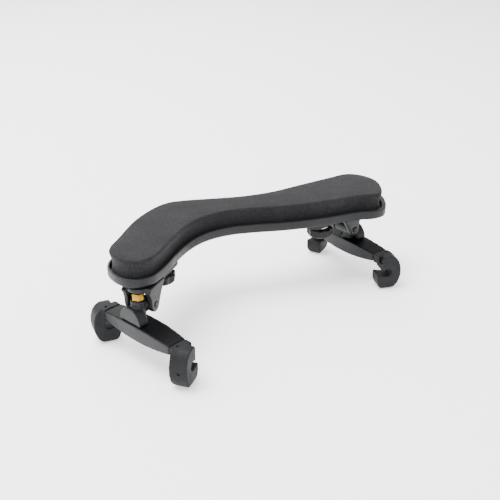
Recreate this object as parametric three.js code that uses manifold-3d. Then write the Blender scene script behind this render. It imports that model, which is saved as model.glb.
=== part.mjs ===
// Violin shoulder rest: a curved foam-topped plate on two folding legs that grip the violin's edge.
// Millimetres, +Z up, +X along the plate, standing on its four rubber claws at z = 0.
import * as THREE from 'three';
import { mergeVertices } from 'three/addons/utils/BufferGeometryUtils.js';
import Module from 'manifold-3d';

const wasm = await Module();
wasm.setup();

// ---- Driving dimensions -------------------------------------------------------------------------

const GAP = 0.3; // clearance between touching pieces

const plate = { bottom: 49.7, floor: 52.4, rimTop: 56.2, rimLeft: 2, rimRight: 3.8, edgeRound: 1.9 };
const pad = { top: 67.8, foot: -0.5, edgeRound: 1.6 };
const slot = { width: 5.6, travel: 5, nutPocketDepth: 6.5 };

// The plate's plan: far edge from left to right, then the near edge back.
const PLAN = [
  [-87, 29], [-83, 35], [-72, 42.5], [-50, 57.5], [-30, 66], [-15, 68], [-2, 62.5], [12, 54], [30, 43.5],
  [50, 36], [75, 32], [100, 28], [117, 24.5], [123.5, 15], [123.5, 2], [117, -9], [105, -18],
  [90, -10.5], [63, -1], [40, 10], [22, 21], [6, 29], [-12, 31.8], [-28, 28.5], [-45, 20.5], [-62, 10.5],
  [-75, 5.5], [-84, 8], [-88, 17],
];
const PLAN_STEPS = 72;

// Each leg: the height screw's place on the ground, the bracket's heading, the fork's heading from it,
// and how far the fork's arms are set off the screw, along and across the bar.
const LEGS = [
  { side: 'left', x: -81, y: 10, heading: 27, toe: -22, across: 1, along: -5 },
  { side: 'right', x: 102.5, y: 6.5, heading: 180, toe: -4, across: 0, along: 0 },
];

const pivot = { x: 4.5, z: 36.6, pinRadius: 1.5, pinInner: 3, pinOuter: 9.9 };
const ear = { inner: 6.6, outer: 9.6, endRadius: 4.8, flareLeft: -4, flareRight: 17 };
const foot = { left: -5, right: 45, width: 16, bottom: 46.4 };
const clamp = {
  x: 31, screwRadius: 2.5, bottom: 37.2, knobTop: 44.2, knobRadius: 9.2, lobes: 8, nutAcross: 7.6,
};
const block = { bottom: 32.2, top: 40.6, halfWidth: 6.2, bossRadius: 4.9, barrelRadius: 4.4 };
const apron = { radius: 9.6, bottom: 27.4, from: 1, to: 7.6, hubClearance: 4.7 };
const insert = { seatRadius: 4.8, hexAcross: 7.2, hexTop: 45.2, sleeveRadius: 3.4, bore: 2.8, bottom: 32.5 };
const screw = { radius: 2.5, top: 45.7, bottom: 20 };
const fork = {
  endAt: 30, topCentre: 27, endDrop: 1.8, thickEnd: 5.6, thickCentre: 10.4, depth: 15, bow: 1.8,
};
const hub = { radius: 4.25, top: 31.7 };
const claw = {
  x: -2, y: 36, yaw: 24, width: 11.4, heelRadius: 3.2, neckDepth: 13, neckBottom: 19, neckTop: 25.4,
};
const tongue = { depth: 8.6, reach: 39, bottom: 20, top: 23.6 };
const bite = { gap: 5.7, slant: 10, x: -0.5, z: 13.2, mouth: 14 };

// ---- Geometry tools -----------------------------------------------------------------------------

const rad = THREE.MathUtils.degToRad;

function solid(geometry) {
  const bare = geometry.index ? geometry.toNonIndexed() : geometry.clone();
  bare.deleteAttribute('normal');
  bare.deleteAttribute('uv');
  const merged = mergeVertices(bare, 1e-4);
  return new wasm.Manifold(new wasm.Mesh({
    numProp: 3,
    vertProperties: new Float32Array(merged.attributes.position.array),
    triVerts: new Uint32Array(merged.index.array),
  }));
}

function meshOf(name, body, material) {
  const result = body.getMesh();
  const geometry = new THREE.BufferGeometry();
  geometry.setAttribute('position', new THREE.BufferAttribute(result.vertProperties, 3));
  geometry.setIndex(new THREE.BufferAttribute(result.triVerts, 1));
  geometry.computeVertexNormals();
  const mesh = new THREE.Mesh(geometry, material);
  mesh.name = name;
  return mesh;
}

// An upright cylinder or prism between two heights.
function post(radius, from, to, sides = 24, x = 0, y = 0) {
  const geometry = new THREE.CylinderGeometry(radius, radius, to - from, sides);
  geometry.rotateX(Math.PI / 2);
  geometry.translate(x, y, (from + to) / 2);
  return solid(geometry);
}

// A cylinder lying along Y.
function axle(radius, from, to, x, z, sides = 24) {
  const geometry = new THREE.CylinderGeometry(radius, radius, to - from, sides);
  geometry.translate(x, (from + to) / 2, z);
  return solid(geometry);
}

function box(x0, x1, y0, y1, z0, z1) {
  const geometry = new THREE.BoxGeometry(x1 - x0, y1 - y0, z1 - z0);
  geometry.translate((x0 + x1) / 2, (y0 + y1) / 2, (z0 + z1) / 2);
  return solid(geometry);
}

// A plan shape extruded upwards between two heights.
function slab(shape, from, to, curveSegments = 10) {
  const geometry = new THREE.ExtrudeGeometry(shape, { depth: to - from, bevelEnabled: false, curveSegments });
  geometry.translate(0, 0, from);
  return solid(geometry);
}

// A shape drawn in X and Z, extruded along Y between two places.
function wall(shape, from, to, curveSegments = 10) {
  const geometry = new THREE.ExtrudeGeometry(shape, { depth: to - from, bevelEnabled: false, curveSegments });
  geometry.rotateX(Math.PI / 2);
  geometry.translate(0, to, 0);
  return solid(geometry);
}

function capsule(x0, x1, radius) {
  const shape = new THREE.Shape();
  shape.absarc(x1, 0, radius, -Math.PI / 2, Math.PI / 2, false);
  shape.absarc(x0, 0, radius, Math.PI / 2, Math.PI * 1.5, false);
  return shape;
}

// Places a leg-frame solid in the plate's frame.
function placed(body, leg) {
  return body.rotate([0, 0, leg.heading]).translate([leg.x, leg.y, 0]);
}

// ---- Plate and pad ------------------------------------------------------------------------------

// The outline, moved outwards by offset(x), as a list of points.
const planCurve = new THREE.CatmullRomCurve3(
  PLAN.slice().reverse().map(([x, y]) => new THREE.Vector3(x, y, 0)), true, 'centripetal');
const planPoints = planCurve.getSpacedPoints(PLAN_STEPS).slice(0, PLAN_STEPS);

function outline(offset) {
  return planPoints.map((point, i) => {
    const before = planPoints[(i + PLAN_STEPS - 1) % PLAN_STEPS];
    const after = planPoints[(i + 1) % PLAN_STEPS];
    const along = after.clone().sub(before).normalize();
    const distance = offset(point.x);
    return new THREE.Vector2(point.x + along.y * distance, point.y - along.x * distance);
  });
}

// A closed solid through outlines at rising heights: rings are [offset function, z].
function loft(rings) {
  const outlines = rings.map(([offset, z]) => outline(offset).map((p) => [p.x, p.y, z]));
  const positions = outlines.flat(2);
  const triangles = [];
  for (let ring = 0; ring < rings.length - 1; ring++) {
    for (let i = 0; i < PLAN_STEPS; i++) {
      const a = ring * PLAN_STEPS + i;
      const b = ring * PLAN_STEPS + (i + 1) % PLAN_STEPS;
      triangles.push(a, b, b + PLAN_STEPS, a, b + PLAN_STEPS, a + PLAN_STEPS);
    }
  }
  const cap = (ring) => THREE.ShapeUtils.triangulateShape(outline(rings[ring][0]), []);
  for (const [a, b, c] of cap(0)) triangles.push(a, c, b);
  const last = (rings.length - 1) * PLAN_STEPS;
  for (const [a, b, c] of cap(rings.length - 1)) triangles.push(last + a, last + b, last + c);
  const geometry = new THREE.BufferGeometry();
  geometry.setAttribute('position', new THREE.Float32BufferAttribute(positions, 3));
  geometry.setIndex(triangles);
  return solid(geometry);
}

// The rim stands further out towards the wide right end.
const leftEnd = -88;
const rightEnd = 124;
const rim = (inset) => (x) =>
  THREE.MathUtils.lerp(plate.rimLeft, plate.rimRight, (x - leftEnd) / (rightEnd - leftEnd)) - inset;
const level = (offset) => () => offset;

function slotShape(radius, extra = 0) {
  return capsule(clamp.x - slot.travel - extra, clamp.x + slot.travel + extra, radius);
}

function basePlate() {
  const r = plate.edgeRound;
  const body = loft([
    [rim(r * 1.1), plate.bottom],
    [rim(r * 0.3), plate.bottom + r * 0.3],
    [rim(0), plate.bottom + r],
    [rim(0), plate.rimTop - 0.5],
    [rim(0.5), plate.rimTop],
  ]);
  const tray = loft([[level(GAP), plate.floor], [level(GAP), plate.rimTop + 1]]);
  const slots = LEGS.map((leg) => placed(
    slab(slotShape(slot.width / 2, GAP), plate.bottom - 1, plate.floor + 1), leg));
  return slots.reduce((rest, cut) => rest.subtract(cut), body.subtract(tray));
}

function foamPad() {
  const r = pad.edgeRound;
  const bottom = plate.floor + GAP;
  const body = loft([
    [level(pad.foot), bottom],
    [level(pad.foot), plate.rimTop + 1],
    [level(0), pad.top - 2.2 * r],
    [level(0), pad.top - r],
    [level(-0.3 * r), pad.top - 0.3 * r],
    [level(-r), pad.top],
  ]);
  const pocketRadius = clamp.nutAcross / 2 + 1.1;
  const pockets = LEGS.map((leg) => placed(
    slab(slotShape(pocketRadius, 1), bottom - 1, bottom + slot.nutPocketDepth), leg));
  return pockets.reduce((rest, cut) => rest.subtract(cut), body);
}

// ---- Bracket and its clamp ----------------------------------------------------------------------

function bracket() {
  const earShape = new THREE.Shape();
  earShape.moveTo(ear.flareLeft, foot.bottom + 1);
  earShape.quadraticCurveTo(pivot.x - ear.endRadius, 43, pivot.x - ear.endRadius, pivot.z);
  earShape.absarc(pivot.x, pivot.z, ear.endRadius, Math.PI, 2 * Math.PI - 0.5, false);
  earShape.quadraticCurveTo(12, 42, ear.flareRight, foot.bottom + 1);
  const ears = [[-ear.outer, -ear.inner], [ear.inner, ear.outer]].map(([from, to]) => wall(earShape, from, to)
    .subtract(axle(pivot.pinRadius + GAP, from - 1, to + 1, pivot.x, pivot.z, 16)));

  const half = foot.width / 2;
  const tongue = slab(capsule(foot.left + half, foot.right - half, half), foot.bottom, plate.bottom - GAP);
  const shoulder = box(foot.left + 3, ear.flareRight, -ear.outer, ear.outer, foot.bottom, plate.bottom - GAP);
  return tongue.add(shoulder).add(ears[0]).add(ears[1])
    .subtract(post(clamp.screwRadius + GAP, foot.bottom - 1, plate.bottom + 1, 20, clamp.x));
}

// A lobed hand knob with a domed lower edge.
function clampKnob() {
  const lobed = new THREE.Shape();
  const steps = clamp.lobes * 6;
  for (let i = 0; i < steps; i++) {
    const angle = (i / steps) * 2 * Math.PI;
    const radius = clamp.knobRadius - 0.7 + 0.7 * Math.cos(clamp.lobes * angle);
    const method = i === 0 ? 'moveTo' : 'lineTo';
    lobed[method](clamp.x + radius * Math.cos(angle), radius * Math.sin(angle));
  }
  const profile = [[0, 0], [6.4, 0], [7.9, 0.8], [9.2, 2.4], [9.2, 6.2], [0, 6.2]]
    .map(([r, z]) => new THREE.Vector2(r, z));
  const dome = new THREE.LatheGeometry(profile, 32);
  dome.rotateX(Math.PI / 2);
  dome.translate(clamp.x, 0, clamp.bottom);
  return slab(lobed, clamp.bottom - 1, clamp.knobTop)
    .intersect(solid(dome))
    .subtract(post(clamp.screwRadius + GAP, clamp.bottom + 2, clamp.knobTop + 1, 20, clamp.x));
}

function clampWasher() {
  return post(6, clamp.knobTop + GAP, foot.bottom - GAP, 24, clamp.x)
    .subtract(post(clamp.screwRadius + GAP, clamp.knobTop - 1, foot.bottom + 1, 20, clamp.x));
}

const nutBottom = plate.floor + GAP;
const nutTop = nutBottom + 3.6;

function clampScrew() {
  return post(clamp.screwRadius, clamp.bottom + 2 + GAP, nutTop + 1, 20, clamp.x);
}

function slideNut() {
  return post(clamp.nutAcross / 2 / Math.cos(rad(30)), nutBottom, nutTop, 6, clamp.x)
    .subtract(post(clamp.screwRadius + GAP, nutBottom - 1, nutTop + 1, 20, clamp.x));
}

// ---- Hinge block, pins and threaded insert ------------------------------------------------------

function hingePin(sign) {
  const ends = [sign * pivot.pinInner, sign * pivot.pinOuter].sort((a, b) => a - b);
  return axle(pivot.pinRadius, ends[0], ends[1], pivot.x, pivot.z, 16);
}

function hingeBlock(leg) {
  const half = block.halfWidth;
  const barrel = axle(block.barrelRadius, -half, half, pivot.x, pivot.z);
  const boss = post(block.bossRadius, block.bottom, block.top);
  const web = box(0, pivot.x, -half + 0.8, half - 0.8, block.bottom + 0.8, block.top - 0.6);
  // The half-round apron hangs outside the fork's hub.
  const disc = new THREE.CylinderGeometry(apron.radius, apron.radius, apron.to - apron.from, 44);
  disc.rotateZ(Math.PI / 2);
  disc.translate(-(apron.from + apron.to) / 2, 0, apron.bottom);
  const skirt = solid(disc).intersect(box(-20, 20, -20, 20, apron.bottom, block.top))
    .subtract(post(apron.hubClearance, apron.bottom - 1, block.bottom, 28))
    .rotate([0, 0, leg.toe])
    .subtract(axle(ear.endRadius + 2 * GAP, half, 14, pivot.x, pivot.z, 32))
    .subtract(axle(ear.endRadius + 2 * GAP, -14, -half, pivot.x, pivot.z, 32));
  return barrel.add(boss).add(web).add(skirt)
    .subtract(post(insert.sleeveRadius + GAP, block.bottom - 1, block.top + 3))
    .subtract(post(insert.seatRadius, block.top, block.top + 5))
    .subtract(axle(pivot.pinRadius + GAP, -half - 1, -pivot.pinInner + GAP, pivot.x, pivot.z, 16))
    .subtract(axle(pivot.pinRadius + GAP, pivot.pinInner - GAP, half + 1, pivot.x, pivot.z, 16));
}

function threadedInsert() {
  const hexRadius = insert.hexAcross / 2 / Math.cos(rad(30));
  return post(insert.sleeveRadius, insert.bottom, block.top + GAP + 0.2)
    .add(post(hexRadius, block.top + GAP, insert.hexTop, 6))
    .subtract(post(insert.bore, insert.bottom - 1, insert.hexTop + 1));
}

// ---- Height screw, fork and claws ---------------------------------------------------------------

function heightScrew() {
  return post(screw.radius, screw.bottom, screw.top);
}

// A bowed bar across the leg, drawn from its side (Y and Z) and trimmed to a bowed plan.
function forkPiece(leg) {
  const { endAt, topCentre, endDrop, thickEnd, thickCentre, depth, bow } = fork;
  const endTop = topCentre - endDrop;
  const side = new THREE.Shape();
  side.moveTo(-endAt, endTop);
  side.quadraticCurveTo(0, topCentre + endDrop, endAt, endTop);
  side.lineTo(endAt, endTop - thickEnd);
  side.quadraticCurveTo(0, 2 * (topCentre - thickCentre) - (endTop - thickEnd), -endAt, endTop - thickEnd);
  const bar = new THREE.ExtrudeGeometry(side, { depth: 2 * depth, bevelEnabled: false, curveSegments: 14 });
  bar.rotateX(Math.PI / 2);
  bar.rotateZ(Math.PI / 2);
  bar.translate(-depth, 0, 0);

  const outer = claw.x - claw.neckDepth / 2;
  const inner = claw.x + claw.neckDepth / 2;
  const plan = new THREE.Shape();
  plan.moveTo(outer, -endAt - 1);
  plan.quadraticCurveTo(outer - bow, 0, outer, endAt + 1);
  plan.lineTo(inner, endAt + 1);
  plan.quadraticCurveTo(inner + 2 * bow, 0, inner, -endAt - 1);

  return solid(bar).intersect(slab(plan, 10, 40))
    .add(tongueSolid(-1, 0)).add(tongueSolid(1, 0))
    .translate([leg.across, leg.along, 0])
    .add(post(hub.radius, topCentre - 3, hub.top))
    .subtract(post(screw.radius + GAP, screw.bottom - GAP, hub.top + 1));
}

// The flat tongue at each end of the bar, or its socket when grown.
function tongueSolid(sign, grow) {
  const ends = [sign * (fork.endAt - 2), sign * (tongue.reach + grow)].sort((a, b) => a - b);
  const half = tongue.depth / 2 + grow;
  return box(claw.x - half, claw.x + half, ends[0], ends[1], tongue.bottom - grow, tongue.top + grow);
}

// A rubber claw's hook, drawn in X (inwards) and Z, round on its outer side and open inwards.
function hookShape() {
  const shape = new THREE.Shape();
  shape.moveTo(3, 0);
  shape.quadraticCurveTo(6.6, 2, 6.9, 8);
  shape.lineTo(6.7, 11.8);
  shape.lineTo(3.6, 16);
  shape.lineTo(3.4, 23.6);
  shape.quadraticCurveTo(3.2, 25.4, 1.4, 25.6);
  shape.lineTo(-3.6, 25.6);
  shape.quadraticCurveTo(-10.2, 23.4, -10.4, 13);
  shape.quadraticCurveTo(-10.2, 4, -4, 0);
  return shape;
}

// The slot that takes the violin's edge.
// The hook seen from outside, as a prism along its slot: its heel corners are round.
function hookFace() {
  const half = claw.width / 2;
  const heel = claw.heelRadius;
  const shape = new THREE.Shape();
  shape.moveTo(heel - half, 0);
  shape.lineTo(half - heel, 0);
  shape.quadraticCurveTo(half, 0, half, heel * 1.6);
  shape.lineTo(half, 30);
  shape.lineTo(-half, 30);
  shape.lineTo(-half, heel * 1.6);
  shape.quadraticCurveTo(-half, 0, heel - half, 0);
  return wall(shape, -20, 20, 6).rotate([0, 0, 90]);
}

function biteSolid() {
  const half = bite.gap / 2;
  const shape = new THREE.Shape();
  shape.moveTo(bite.mouth, half);
  shape.absarc(0, 0, half, Math.PI / 2, Math.PI * 1.5, false);
  shape.lineTo(bite.mouth, -half);
  return wall(shape, -claw.width, claw.width, 8).rotate([0, -bite.slant, 0]).translate([bite.x, 0, bite.z]);
}

function clawPiece(sign, leg) {
  const half = claw.width / 2;
  const hook = wall(hookShape(), -half, half, 6).intersect(hookFace()).subtract(biteSolid())
    .rotate([0, 0, -sign * claw.yaw]).translate([claw.x, sign * claw.y, 0]);
  const neckEnds = [sign * (fork.endAt + GAP), sign * claw.y].sort((a, b) => a - b);
  const neck = box(claw.x - claw.neckDepth / 2, claw.x + claw.neckDepth / 2, neckEnds[0], neckEnds[1],
    claw.neckBottom, claw.neckTop);
  const barEnds = [0, sign * (fork.endAt + GAP)].sort((a, b) => a - b);
  const barSpace = box(-20, 20, barEnds[0], barEnds[1], claw.neckBottom - 0.6, 40);
  return hook.add(neck).subtract(barSpace).subtract(tongueSolid(sign, GAP))
    .translate([leg.across, leg.along, 0]);
}

// ---- Materials ----------------------------------------------------------------------------------

const finish = (color, roughness, metalness = 0) =>
  new THREE.MeshStandardMaterial({ color, roughness, metalness });
const nylon = finish(0x1c1e22, 0.45);
const foam = finish(0x232326, 0.95);
const rubber = finish(0x24262a, 0.75);
const brass = finish(0xd9a441, 0.25, 1);
const steel = finish(0x9a9c9f, 0.3, 1);

// ---- Assembly -----------------------------------------------------------------------------------

const rest = new THREE.Group();
rest.add(meshOf('base_plate', basePlate(), nylon));
rest.add(meshOf('foam_pad', foamPad(), foam));

for (const leg of LEGS) {
  const { side } = leg;
  const folding = new THREE.Group();
  folding.position.set(leg.x, leg.y, 0);
  folding.rotation.z = rad(leg.heading);
  folding.add(
    meshOf(`${side}_bracket`, bracket(), nylon),
    meshOf(`${side}_clamp_knob`, clampKnob(), nylon),
    meshOf(`${side}_clamp_washer`, clampWasher(), steel),
    meshOf(`${side}_clamp_screw`, clampScrew(), steel),
    meshOf(`${side}_slide_nut`, slideNut(), steel),
    meshOf(`${side}_hinge_pin_a`, hingePin(-1), steel),
    meshOf(`${side}_hinge_pin_b`, hingePin(1), steel),
    meshOf(`${side}_hinge_block`, hingeBlock(leg), nylon),
    meshOf(`${side}_threaded_insert`, threadedInsert(), brass),
  );
  const turning = new THREE.Group();
  turning.rotation.z = rad(leg.toe);
  turning.add(
    meshOf(`${side}_height_screw`, heightScrew(), brass),
    meshOf(`${side}_fork`, forkPiece(leg), nylon),
    meshOf(`${side}_claw_a`, clawPiece(-1, leg), rubber),
    meshOf(`${side}_claw_b`, clawPiece(1, leg), rubber),
  );
  folding.add(turning);
  rest.add(folding);
}

// The origin sits under the middle of the whole rest, on the surface it stands on.
rest.updateMatrixWorld(true);
const bounds = new THREE.Box3().setFromObject(rest, true);
const centre = bounds.getCenter(new THREE.Vector3());
const model = new THREE.Group();
rest.position.set(-centre.x, -centre.y, -bounds.min.z);
model.add(rest);

export default model;
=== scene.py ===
# A violin shoulder rest: a foam-topped nylon plate on two folding forked legs with rubber claws.
# Everything is in metres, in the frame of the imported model.
import math

import bmesh
import bpy
from mathutils import Matrix, Vector


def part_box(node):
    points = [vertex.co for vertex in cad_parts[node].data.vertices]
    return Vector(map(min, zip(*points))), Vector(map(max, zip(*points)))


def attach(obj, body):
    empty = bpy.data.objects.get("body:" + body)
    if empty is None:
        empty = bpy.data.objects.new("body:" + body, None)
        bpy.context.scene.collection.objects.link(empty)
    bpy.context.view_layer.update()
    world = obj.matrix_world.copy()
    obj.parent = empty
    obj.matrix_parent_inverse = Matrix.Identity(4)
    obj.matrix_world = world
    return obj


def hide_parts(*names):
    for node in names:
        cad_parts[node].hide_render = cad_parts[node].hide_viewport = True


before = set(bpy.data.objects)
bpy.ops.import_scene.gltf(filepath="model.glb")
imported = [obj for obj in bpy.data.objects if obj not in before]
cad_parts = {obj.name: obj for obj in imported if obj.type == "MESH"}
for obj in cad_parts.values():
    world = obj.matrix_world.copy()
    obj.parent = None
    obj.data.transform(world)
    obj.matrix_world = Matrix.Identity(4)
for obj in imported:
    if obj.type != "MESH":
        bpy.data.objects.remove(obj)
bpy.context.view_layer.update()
MM = 0.001


# ---- Camera ----------------------------------------------------------------------------------
# A 60 mm lens looking down at the rest from its near left, turned 41.5 degrees off the plate.
VIEW_TURN = math.radians(41.5)
VIEW_TILT = math.radians(26)
VIEW_LENS = 60.48
VIEW_FROM = Vector((-339.1, -380.2, 288.8)) * MM

camera = bpy.data.objects.new("camera", bpy.data.cameras.new("camera"))
camera.data.lens = VIEW_LENS
camera.data.sensor_width = 36
camera.data.clip_start = 0.01
camera.location = VIEW_FROM
camera.rotation_euler = (math.pi / 2 - VIEW_TILT, 0, -VIEW_TURN)
bpy.context.scene.collection.objects.link(camera)
bpy.context.scene.camera = camera


# ---- Foam pad --------------------------------------------------------------------------------
# A moulded cushion of firm foam faced with a fine black knit. It stands on the plate's tray, flares a
# little at its top edge, and its top is very slightly crowned with a soft rolled edge.
PAD_RINGS_PER_POINT = 4     # finer points along the outline for each of the frame's own points
PAD_FOOT = 0.5 * MM         # how far the bottom stands inside the top outline
PAD_EDGE = 1.7 * MM         # radius of the rolled edge
PAD_WAIST = 1.3 * MM        # how far the sides pull in halfway up
PAD_CROWN = 0.4 * MM        # how far the middle of the top stands above its rolled edge
PAD_TAPER = 1.4             # above 1, the foot widens mostly near the bottom
PAD_SIDE_STEPS = 10
PAD_EDGE_STEPS = 7
PAD_EDGE_SWEEP = math.radians(82)
PAD_CROWN_SHARES = (0.06, 0.13, 0.22, 0.33, 0.46, 0.6, 0.75)   # of the way from the edge to the spine
CAD_TOP_INSET = 1.6 * MM    # the frame's top outline lies this far inside its widest one
# The pad's middle line in plan, in millimetres.
PAD_SPINE = [(-87, 4), (-72, 12), (-50, 27), (-28, 34), (-6, 26), (18, 12), (45, 2), (72, -6), (92, -9)]

pad_low, pad_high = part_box("foam_pad")


def top_outline(node, height, tolerance=0.05 * MM):
    """The ordered loop of the node's outline at a height, from the frame's own mesh."""
    shape = bmesh.new()
    shape.from_mesh(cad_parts[node].data)
    bmesh.ops.remove_doubles(shape, verts=shape.verts, dist=0.01 * MM)
    def at_height(vert):
        return abs(vert.co.z - height) < tolerance
    def is_flat(face):
        return all(at_height(vert) for vert in face.verts)
    after = {}
    for edge in shape.edges:
        if all(at_height(v) for v in edge.verts) and sum(is_flat(f) for f in edge.link_faces) == 1:
            a, b = (v.index for v in edge.verts)
            after.setdefault(a, []).append(b)
            after.setdefault(b, []).append(a)
    shape.verts.ensure_lookup_table()
    start = min(after, key=lambda i: shape.verts[i].co.x)
    loop, previous, here = [], None, start
    while True:
        loop.append(shape.verts[here].co.xy.copy())
        step = next(i for i in after[here] if i != previous)
        previous, here = here, step
        if here == start:
            break
    shape.free()
    area = sum(a.cross(b) for a, b in zip(loop, loop[1:] + loop[:1]))
    return loop if area > 0 else loop[::-1]


def smooth_loop(points, parts):
    """A Catmull-Rom curve through a closed loop of points, with several parts to each stretch."""
    count = len(points)
    result = []
    for i in range(count):
        p0, p1, p2, p3 = (points[(i + k - 1) % count] for k in range(4))
        for j in range(parts):
            t = j / parts
            result.append(0.5 * (2 * p1 + (p2 - p0) * t + (2 * p0 - 5 * p1 + 4 * p2 - p3) * t * t
                                 + (3 * p1 - p0 - 3 * p2 + p3) * t ** 3))
    return result


def moved_out(points, distance):
    """The loop moved outwards by a distance, or inwards where it is negative."""
    count = len(points)
    result = []
    for i, point in enumerate(points):
        along = (points[(i + 3) % count] - points[i - 3]).normalized()
        result.append(point + Vector((along.y, -along.x)) * distance)
    return result


def toward_spine(points, spine, share):
    """The loop drawn in towards the nearest place on a line of points."""
    result = []
    for point in points:
        best = None
        for a, b in zip(spine, spine[1:]):
            t = max(0, min(1, (point - a).dot(b - a) / (b - a).length_squared))
            foot = a + (b - a) * t
            if best is None or (foot - point).length < (best - point).length:
                best = foot
        result.append(point.lerp(best, share))
    return result


def ring_solid(name, rings):
    """A closed mesh through rings of points, each given as (loop, height)."""
    shape = bmesh.new()
    made = [[shape.verts.new((p.x, p.y, z)) for p in loop] for loop, z in rings]
    for low, high in zip(made, made[1:]):
        for i in range(len(low)):
            j = (i + 1) % len(low)
            shape.faces.new((low[i], low[j], high[j], high[i]))
    shape.faces.new(list(reversed(made[0])))
    shape.faces.new(made[-1])
    shape.normal_update()
    bmesh.ops.triangulate(shape, faces=[f for f in shape.faces if len(f.verts) > 4])
    for face in shape.faces:
        face.smooth = True
    mesh = bpy.data.meshes.new(name)
    shape.to_mesh(mesh)
    shape.free()
    piece = bpy.data.objects.new(name, mesh)
    bpy.context.scene.collection.objects.link(piece)
    return piece


pad_outline = moved_out(
    smooth_loop(top_outline("foam_pad", pad_high.z), PAD_RINGS_PER_POINT), CAD_TOP_INSET)
SPINE_PARTS = 4
spine_loop = smooth_loop([Vector(p) * MM for p in PAD_SPINE], SPINE_PARTS)
spine_line = spine_loop[:SPINE_PARTS * (len(PAD_SPINE) - 1)]

pad_rings = []
side_top = pad_high.z - PAD_EDGE - PAD_CROWN
for step in range(PAD_SIDE_STEPS + 1):
    t = step / PAD_SIDE_STEPS
    inset = PAD_FOOT * (1 - t) ** PAD_TAPER + PAD_WAIST * math.sin(math.pi * t)
    height = pad_low.z + (side_top - pad_low.z) * t
    pad_rings.append((moved_out(pad_outline, -inset), height))
for step in range(1, PAD_EDGE_STEPS + 1):
    angle = PAD_EDGE_SWEEP * step / PAD_EDGE_STEPS
    pad_rings.append((moved_out(pad_outline, -PAD_EDGE * (1 - math.cos(angle))),
                      side_top + PAD_EDGE * math.sin(angle)))
edge_loop, edge_height = pad_rings[-1]
for share in PAD_CROWN_SHARES:
    crown = (pad_high.z - edge_height) * (1 - (1 - share) ** 3)
    pad_rings.append((toward_spine(edge_loop, spine_line, share), edge_height + crown))
pad = ring_solid("pad", pad_rings)


def srgb(code):
    """An sRGB hex colour as Blender's linear values."""
    channels = [int(code[i:i + 2], 16) / 255 for i in (1, 3, 5)]
    return tuple(c / 12.92 if c <= 0.04045 else ((c + 0.055) / 1.055) ** 2.4 for c in channels) + (1.0,)


def add_node(tree, kind, settings=None, inputs=None, links=None):
    """One node: settings are its own values, inputs its sockets' values, links what feeds its sockets."""
    node = tree.nodes.new(kind)
    for key, value in (settings or {}).items():
        setattr(node, key, value)
    for key, value in (inputs or {}).items():
        node.inputs[key].default_value = value
    for key, source in (links or {}).items():
        tree.links.new(source, node.inputs[key])
    return node


def new_material(name):
    """An empty material, its node tree, its surface shader and its Object coordinates."""
    material = bpy.data.materials.new(name)
    material.use_nodes = True
    tree = material.node_tree
    shader = tree.nodes["Principled BSDF"]
    place = add_node(tree, "ShaderNodeTexCoord").outputs["Object"]
    return material, tree, shader, place


def shades(tree, factor, stops):
    """A colour ramp over a factor; stops are (position, sRGB hex)."""
    ramp = add_node(tree, "ShaderNodeValToRGB", links={"Fac": factor})
    elements = ramp.color_ramp.elements
    while len(elements) < len(stops):
        elements.new(0.5)
    for element, (position, code) in zip(elements, stops):
        element.position = position
        element.color = srgb(code)
    return ramp.outputs["Color"]


def value_range(tree, factor, low, high, from_low=0.0, from_high=1.0):
    """A factor stretched to another range."""
    return add_node(tree, "ShaderNodeMapRange", inputs={
        "From Min": from_low, "From Max": from_high, "To Min": low, "To Max": high},
        links={"Value": factor}).outputs["Result"]


def set_material(piece, material):
    piece.data.materials.clear()
    piece.data.materials.append(material)


def knit_faced_foam():
    """Black polyester knit laminated to foam: a dull nap with a fine pebbled grain and a faint sheen at
    grazing angles. The knit's loops, about 0.3 mm apart, are drawn 0.9 mm apart so that they show."""
    material, tree, shader, place = new_material("knit_faced_foam")
    loops = add_node(tree, "ShaderNodeTexVoronoi", {"feature": "F1"}, {"Scale": 1150.0, "Randomness": 0.75},
                     {"Vector": place})
    nap = add_node(tree, "ShaderNodeTexNoise", inputs={"Scale": 2200.0, "Detail": 3.0, "Roughness": 0.6},
                   links={"Vector": place})
    patches = add_node(tree, "ShaderNodeTexNoise", inputs={"Scale": 55.0, "Detail": 4.0, "Roughness": 0.55},
                       links={"Vector": place})
    loop_height = value_range(tree, loops.outputs["Distance"], 1.0, 0.0, 0.0, 0.7)
    grain = add_node(tree, "ShaderNodeMath", {"operation": "MULTIPLY"},
                     links={0: loop_height, 1: nap.outputs["Fac"]}).outputs[0]
    mixed = add_node(tree, "ShaderNodeMath", {"operation": "MULTIPLY_ADD"}, {1: 0.55},
                     {0: patches.outputs["Fac"], 2: grain}).outputs[0]
    tree.links.new(shades(tree, mixed, [(0.3, "#141415"), (0.62, "#202022"), (0.9, "#353537")]),
                   shader.inputs["Base Color"])
    tree.links.new(value_range(tree, nap.outputs["Fac"], 0.82, 1.0), shader.inputs["Roughness"])
    shader.inputs["Specular IOR Level"].default_value = 0.18
    shader.inputs["Sheen Weight"].default_value = 0.2
    shader.inputs["Sheen Roughness"].default_value = 0.45
    shader.inputs["Sheen Tint"].default_value = srgb("#8c8c90")
    coarse = add_node(tree, "ShaderNodeBump", inputs={"Strength": 0.35, "Distance": 0.6 * MM},
                      links={"Height": patches.outputs["Fac"]})
    fine = add_node(tree, "ShaderNodeBump", inputs={"Strength": 0.6, "Distance": 0.22 * MM},
                    links={"Height": grain, "Normal": coarse.outputs["Normal"]})
    tree.links.new(fine.outputs["Normal"], shader.inputs["Normal"])
    return material


set_material(pad, knit_faced_foam())
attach(pad, "base")
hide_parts("foam_pad")


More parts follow.
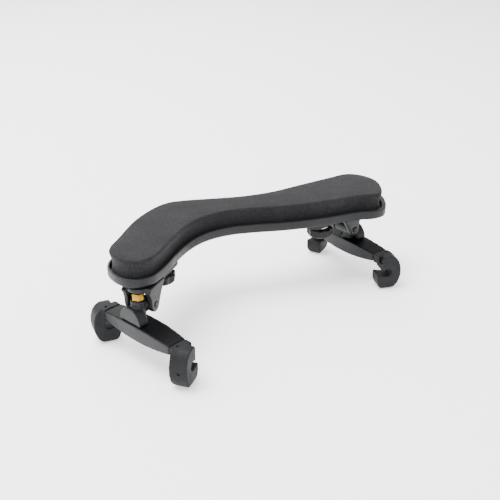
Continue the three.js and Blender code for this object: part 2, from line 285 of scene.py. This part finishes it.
# ---- Base plate ------------------------------------------------------------------------------
# The curved plate, moulded in glass-filled nylon: a shallow tray for the pad with a raised rim, a
# rounded lower edge, and a slot under each end for the bracket's clamp screw.
def modified(piece, name):
    """The piece with its modifiers built into its mesh."""
    graph = bpy.context.evaluated_depsgraph_get()
    result = bpy.data.meshes.new_from_object(piece.evaluated_get(graph))
    piece.modifiers.clear()
    piece.data = result
    result.name = name
    return result


def cut_away(piece, cutters):
    """The piece less its cutters, which are removed."""
    for cutter in cutters:
        cut = piece.modifiers.new("cut", "BOOLEAN")
        cut.operation = "DIFFERENCE"
        cut.solver = "EXACT"
        cut.object = cutter
    modified(piece, piece.name)
    for cutter in cutters:
        bpy.data.objects.remove(cutter)


def moulded_nylon(name, base, light, gloss):
    """Black glass-filled nylon from a spark-eroded mould: a satin skin with a fine even texture that
    catches a grey highlight, and slightly paler, shinier rubbed patches. The texture's grains, really a
    few hundredths of a millimetre, are drawn about a millimetre wide so that they show."""
    material, tree, shader, place = new_material(name)
    skin = add_node(tree, "ShaderNodeTexNoise", inputs={"Scale": 900.0, "Detail": 4.0, "Roughness": 0.65},
                    links={"Vector": place})
    handling = add_node(tree, "ShaderNodeTexNoise", inputs={"Scale": 60.0, "Detail": 5.0, "Roughness": 0.6},
                        links={"Vector": place})
    tree.links.new(shades(tree, handling.outputs["Fac"], [(0.3, base), (0.75, light)]),
                   shader.inputs["Base Color"])
    tree.links.new(value_range(tree, handling.outputs["Fac"], gloss + 0.08, gloss - 0.08, 0.3, 0.7),
                   shader.inputs["Roughness"])
    shader.inputs["Specular IOR Level"].default_value = 0.22
    bump = add_node(tree, "ShaderNodeBump", inputs={"Strength": 0.3, "Distance": 0.12 * MM},
                    links={"Height": skin.outputs["Fac"]})
    tree.links.new(bump.outputs["Normal"], shader.inputs["Normal"])
    return material


RIM_TOP_INSET = 0.3 * MM    # the frame's rim edge lies this far inside its widest outline
RIM_FOOT = 1.9 * MM         # radius of the plate's lower edge
RIM_LIP = 0.45 * MM         # radius of the rim's two upper edges
TRAY_GAP = 0.3 * MM         # from the pad's widest outline to the rim
TRAY_FLOOR = 52.4 * MM      # height of the tray's floor
SLOT_HEADING = {"left": math.radians(27), "right": 0.0}
SLOT_HALF_LENGTH = 5.3 * MM    # from the slot's middle to the centre of its round end
SLOT_RADIUS = 2.8 * MM
CREASE = math.radians(38)   # edges sharper than this stay sharp
LEVEL = 0.9999              # a face whose normal is this upright is flat

plate_low, plate_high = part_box("base_plate")
rim_outline = moved_out(
    smooth_loop(top_outline("base_plate", plate_high.z), PAD_RINGS_PER_POINT), RIM_TOP_INSET)
tray_outline = moved_out(pad_outline, TRAY_GAP)
nearest = min(range(len(tray_outline)), key=lambda i: (tray_outline[i] - rim_outline[0]).length)
tray_outline = tray_outline[nearest:] + tray_outline[:nearest]


def quarter_turn(loop, low, high, radius, outwards, steps=4):
    """Rings round a quarter circle from a loop: low and high are its first and last angles in degrees,
    and outwards is 1 or -1."""
    rings = []
    for step in range(steps + 1):
        angle = math.radians(low + (high - low) * step / steps)
        rings.append((moved_out(loop, outwards * radius * math.cos(angle)), radius * math.sin(angle)))
    return rings


underside = moved_out(rim_outline, -RIM_FOOT)
plate_rings = []
for loop, rise in quarter_turn(underside, -90, 0, RIM_FOOT, 1, 6):
    plate_rings.append((loop, plate_low.z + RIM_FOOT + rise))
for loop, rise in quarter_turn(moved_out(rim_outline, -RIM_LIP), 0, 90, RIM_LIP, 1):
    plate_rings.append((loop, plate_high.z - RIM_LIP + rise))
for loop, rise in quarter_turn(moved_out(tray_outline, RIM_LIP), 90, 0, RIM_LIP, -1):
    plate_rings.append((loop, plate_high.z - RIM_LIP + rise))
plate_rings.append((tray_outline, TRAY_FLOOR))
plate = ring_solid("plate", plate_rings)


def capsule_solid(name, centre, heading, half_length, radius, low, high, steps=14):
    """An upright solid with a long rounded outline."""
    along = Vector((math.cos(heading), math.sin(heading)))
    loop = []
    for end, start in ((1, -90), (-1, 90)):
        for step in range(steps + 1):
            angle = heading + math.radians(start + 180 * step / steps)
            outwards = Vector((math.cos(angle), math.sin(angle)))
            loop.append(centre + along * end * half_length + outwards * radius)
    return ring_solid(name, [(loop, low), (loop, high)])


slot_cutters = []
for side, heading in SLOT_HEADING.items():
    screw_low, screw_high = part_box(f"{side}_clamp_screw")
    slot_cutters.append(capsule_solid("slot", ((screw_low + screw_high) / 2).xy, heading, SLOT_HALF_LENGTH,
                                      SLOT_RADIUS, plate_low.z - MM, TRAY_FLOOR + MM))
cut_away(plate, slot_cutters)
for face in plate.data.polygons:
    face.use_smooth = abs(face.normal.z) < LEVEL
plate.data.set_sharp_from_angle(angle=CREASE)
set_material(plate, moulded_nylon("glass_filled_nylon_plate", "#0e0f11", "#16171a", 0.42))
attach(plate, "base")
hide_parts("base_plate")


# ---- Brackets, hinge blocks and clamp knobs --------------------------------------------------
# Nylon mouldings under the plate: a foot with two ears, the block that swings between the ears, and
# the lobed knob that clamps the foot along its slot.
WELD = 0.01 * MM            # the frame's loose triangles join within this distance


def softened(node, name, voxel, passes):
    """A copy of a frame node with its corners rounded as a mould rounds them."""
    shape = bmesh.new()
    shape.from_mesh(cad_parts[node].data)
    bmesh.ops.remove_doubles(shape, verts=shape.verts, dist=WELD)
    mesh = bpy.data.meshes.new(name)
    shape.to_mesh(mesh)
    shape.free()
    piece = bpy.data.objects.new(name, mesh)
    bpy.context.scene.collection.objects.link(piece)
    remesh = piece.modifiers.new("remesh", "REMESH")
    remesh.mode = "VOXEL"
    remesh.voxel_size = voxel
    smooth = piece.modifiers.new("smooth", "SMOOTH")
    smooth.factor = 0.5
    smooth.iterations = passes
    for face in modified(piece, name).polygons:
        face.use_smooth = True
    return piece


nylon = moulded_nylon("glass_filled_nylon_leg", "#0c0d0f", "#141519", 0.42)
knob_nylon = moulded_nylon("nylon_knob", "#0a0b0c", "#111214", 0.5)
SIDES = ("left", "right")
# Each part: its body, voxel size in millimetres, smoothing passes, material and finish slot.
NYLON_PARTS = [
    ("bracket", "slider", 0.45, 4, nylon, "bracket"),
    ("clamp_knob", "clamp", 0.35, 3, knob_nylon, "knob"),
    ("hinge_block", "hinge", 0.35, 3, nylon, "hinge_block"),
]
for side in SIDES:
    for part, body, voxel, passes, material, finish in NYLON_PARTS:
        node = f"{side}_{part}"
        piece = softened(node, f"{node}_moulding", voxel * MM, passes)
        set_material(piece, material)
        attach(piece, f"{side}_{body}")
        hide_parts(node)


# ---- Forks -----------------------------------------------------------------------------------
# The bowed nylon arm across each leg, with its screw hub. Its sides are satin; its top carries painted shade,
# darker and less glossy.
TOP_SHADE = 0.35             # painted shade on the top: its colour and gloss, as a share of the sides'
SHADE_FROM, SHADE_FULL = 0.55, 0.85   # how upright a face is where the painted shade starts and is complete
FORK_VOXEL = 0.5 * MM
FORK_PASSES = 5


def painted_top_shade(material):
    """A copy of a nylon with painted shade on its upward faces, which are darker and less glossy."""
    copy = material.copy()
    copy.name = material.name + "_painted_top_shade"
    tree = copy.node_tree
    shader = tree.nodes["Principled BSDF"]
    up = add_node(tree, "ShaderNodeSeparateXYZ", links={
        0: add_node(tree, "ShaderNodeTexCoord").outputs["Normal"]}).outputs["Z"]
    # painted shade: the more upright the face, the darker its colour and the weaker its gloss
    share = value_range(tree, up, 1.0, TOP_SHADE, SHADE_FROM, SHADE_FULL)
    colour = shader.inputs["Base Color"].links[0].from_socket
    darker = add_node(tree, "ShaderNodeVectorMath", {"operation": "SCALE"}, links={0: colour, "Scale": share})
    tree.links.new(darker.outputs[0], shader.inputs["Base Color"])
    gloss = add_node(tree, "ShaderNodeMath", {"operation": "MULTIPLY"},
                     {1: shader.inputs["Specular IOR Level"].default_value}, {0: share})
    tree.links.new(gloss.outputs[0], shader.inputs["Specular IOR Level"])
    return copy


# the arms' nylon, with painted shade on their tops
arm_nylon_with_top_shade = painted_top_shade(nylon)
for side in SIDES:
    node = f"{side}_fork"
    piece = softened(node, f"{node}_moulding", FORK_VOXEL, FORK_PASSES)
    set_material(piece, arm_nylon_with_top_shade)
    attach(piece, f"{side}_foot")
    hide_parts(node)


# ---- Claws -----------------------------------------------------------------------------------
# Soft black rubber hooks, moulded over the arm's ends, with rounded edges and a small round pin mark on
# the neck and on the back of each hook.
def moulded_rubber():
    """Soft black rubber with a dusty, dull skin: no clear highlight, paler where it is rubbed."""
    material, tree, shader, place = new_material("moulded_rubber")
    dust = add_node(tree, "ShaderNodeTexNoise", inputs={"Scale": 130.0, "Detail": 6.0, "Roughness": 0.62},
                    links={"Vector": place})
    skin = add_node(tree, "ShaderNodeTexNoise", inputs={"Scale": 1400.0, "Detail": 3.0, "Roughness": 0.6},
                    links={"Vector": place})
    tree.links.new(shades(tree, dust.outputs["Fac"], [(0.3, "#0b0c0e"), (0.7, "#131417")]),
                   shader.inputs["Base Color"])
    tree.links.new(value_range(tree, dust.outputs["Fac"], 0.7, 0.58, 0.3, 0.7), shader.inputs["Roughness"])
    shader.inputs["Specular IOR Level"].default_value = 0.2
    bump = add_node(tree, "ShaderNodeBump", inputs={"Strength": 0.35, "Distance": 0.1 * MM},
                    links={"Height": skin.outputs["Fac"]})
    tree.links.new(bump.outputs["Normal"], shader.inputs["Normal"])
    return material


FORK_HEADING = {"left": math.radians(5), "right": math.radians(176)}
CLAW_REACH = 36 * MM                    # either way from the middle of the arm
ARM_MIDDLE = {"left": Vector((-1, -5)) * MM, "right": Vector((-2, 0)) * MM}   # from the height screw
CLAW_YAW = math.radians(24)
CLAW_VOXEL = 0.42 * MM
CLAW_PASSES = 14
CLAW_CREASE = math.radians(60)
# Each pin mark's place in millimetres in the claw's own directions, and the way it is sunk.
PIN_MARKS = [((-1.5, -3.5, 25.9), (0, 0, 1)), ((-10.6, 0.4, 12.5), (1, 0, 0))]
PIN_RADIUS = 1.0 * MM
PIN_DEPTH = 0.9 * MM
PIN_SIDES = 20


def pin_cutter(place, direction):
    """A short cylinder at a place, along a direction."""
    shape = bmesh.new()
    turn = Vector(direction).to_track_quat("Z", "Y").to_matrix().to_4x4()
    bmesh.ops.create_cone(shape, cap_ends=True, segments=PIN_SIDES, radius1=PIN_RADIUS, radius2=PIN_RADIUS,
                          depth=2 * PIN_DEPTH, matrix=place @ turn)
    mesh = bpy.data.meshes.new("pin_mark")
    shape.to_mesh(mesh)
    shape.free()
    cutter = bpy.data.objects.new("pin_mark", mesh)
    bpy.context.scene.collection.objects.link(cutter)
    return cutter


rubber = moulded_rubber()
for side in SIDES:
    screw_low, screw_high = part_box(f"{side}_height_screw")
    screw_foot = ((screw_low + screw_high) / 2).xy.to_3d()
    for end, across in (("a", -1), ("b", 1)):
        node = f"{side}_claw_{end}"
        piece = softened(node, f"{node}_moulding", CLAW_VOXEL, CLAW_PASSES)
        stand = (Matrix.Translation(screw_foot) @ Matrix.Rotation(FORK_HEADING[side], 4, "Z")
                 @ Matrix.Translation((ARM_MIDDLE[side].x, ARM_MIDDLE[side].y + across * CLAW_REACH, 0))
                 @ Matrix.Rotation(-across * CLAW_YAW, 4, "Z"))
        cut_away(piece, [
            pin_cutter(stand @ Matrix.Translation(Vector((x, y * across, z)) * MM), direction)
            for (x, y, z), direction in PIN_MARKS])
        for face in piece.data.polygons:
            face.use_smooth = True
        piece.data.set_sharp_from_angle(angle=CLAW_CREASE)
        set_material(piece, rubber)
        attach(piece, f"{side}_foot")
        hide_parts(node)


# ---- Screws, nuts, pins and inserts ----------------------------------------------------------
# Turned metal, on the frame's own nodes: brass inserts with a hexagon head and brass height screws,
# blackened hinge pins, and plain steel clamp screws, washers and nuts.
def turned_metal(name, base, light, rough):
    """Bright turned metal: fine tool rings give it a soft streaked highlight."""
    material, tree, shader, place = new_material(name)
    tarnish = add_node(tree, "ShaderNodeTexNoise", inputs={"Scale": 300.0, "Detail": 4.0},
                       links={"Vector": place})
    rings = add_node(tree, "ShaderNodeTexNoise", inputs={"Scale": 25.0, "Detail": 2.0}, links={
        "Vector": add_node(tree, "ShaderNodeMapping", inputs={"Scale": (1, 1, 220)},
                           links={"Vector": place}).outputs["Vector"]})
    shader.inputs["Metallic"].default_value = 1.0
    tree.links.new(shades(tree, tarnish.outputs["Fac"], [(0.3, base), (0.7, light)]),
                   shader.inputs["Base Color"])
    tree.links.new(value_range(tree, tarnish.outputs["Fac"], rough + 0.08, rough - 0.06, 0.3, 0.7),
                   shader.inputs["Roughness"])
    bump = add_node(tree, "ShaderNodeBump", inputs={"Strength": 0.15, "Distance": 0.05 * MM},
                    links={"Height": rings.outputs["Fac"]})
    tree.links.new(bump.outputs["Normal"], shader.inputs["Normal"])
    return material


brass = turned_metal("turned_brass", "#7a5a1c", "#a9852f", 0.34)
steel = turned_metal("turned_steel", "#8b8d90", "#b3b5b8", 0.3)
black_steel = turned_metal("blackened_steel", "#1c1c1e", "#303033", 0.42)
METAL_PARTS = {
    "threaded_insert": brass, "height_screw": brass, "clamp_screw": steel, "clamp_washer": steel,
    "slide_nut": steel, "hinge_pin_a": black_steel, "hinge_pin_b": black_steel,
}
for side in SIDES:
    for part, material in METAL_PARTS.items():
        set_material(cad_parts[f"{side}_{part}"], material)


# ---- Floor and light -------------------------------------------------------------------------
# A wide sheet of opal acrylic, lit a little from below, under three soft lamps and a white sky.
FLOOR_HALF = 3.0
FLOOR_GLOW = 0.6
floor_mesh = bpy.data.meshes.new("floor")
floor_mesh.from_pydata(
    [(-FLOOR_HALF, -FLOOR_HALF, 0), (FLOOR_HALF, -FLOOR_HALF, 0), (FLOOR_HALF, FLOOR_HALF, 0),
     (-FLOOR_HALF, FLOOR_HALF, 0)], [], [(0, 1, 2, 3)])
floor = bpy.data.objects.new("floor", floor_mesh)
bpy.context.scene.collection.objects.link(floor)
acrylic = bpy.data.materials.new("opal_acrylic")
acrylic.use_nodes = True
floor_shader = acrylic.node_tree.nodes["Principled BSDF"]
floor_shader.inputs["Base Color"].default_value = srgb("#ffffff")
floor_shader.inputs["Roughness"].default_value = 0.9
floor_shader.inputs["Emission Color"].default_value = srgb("#ffffff")
floor_shader.inputs["Emission Strength"].default_value = FLOOR_GLOW
set_material(floor, acrylic)

LAMP_TARGET = Vector((0, 0, 0.03))
# Each lamp: its name, place, width and power in watts.
LIGHTS = [
    ("key", (-0.35, 0.25, 1.2), 0.8, 34),
    ("fill", (-1.0, -0.5, 0.5), 0.9, 5),
    ("back", (0.3, 1.0, 0.9), 1.0, 14),
]
for name, place, size, power in LIGHTS:
    lamp = bpy.data.objects.new(name, bpy.data.lights.new(name, "AREA"))
    lamp.data.size = size
    lamp.data.energy = power
    lamp.location = place
    lamp.rotation_euler = (LAMP_TARGET - Vector(place)).to_track_quat("-Z", "Y").to_euler()
    bpy.context.scene.collection.objects.link(lamp)

world = bpy.data.worlds.new("studio")
world.use_nodes = True
world.node_tree.nodes["Background"].inputs["Color"].default_value = (1, 1, 1, 1)
world.node_tree.nodes["Background"].inputs["Strength"].default_value = 1.5
bpy.context.scene.world = world
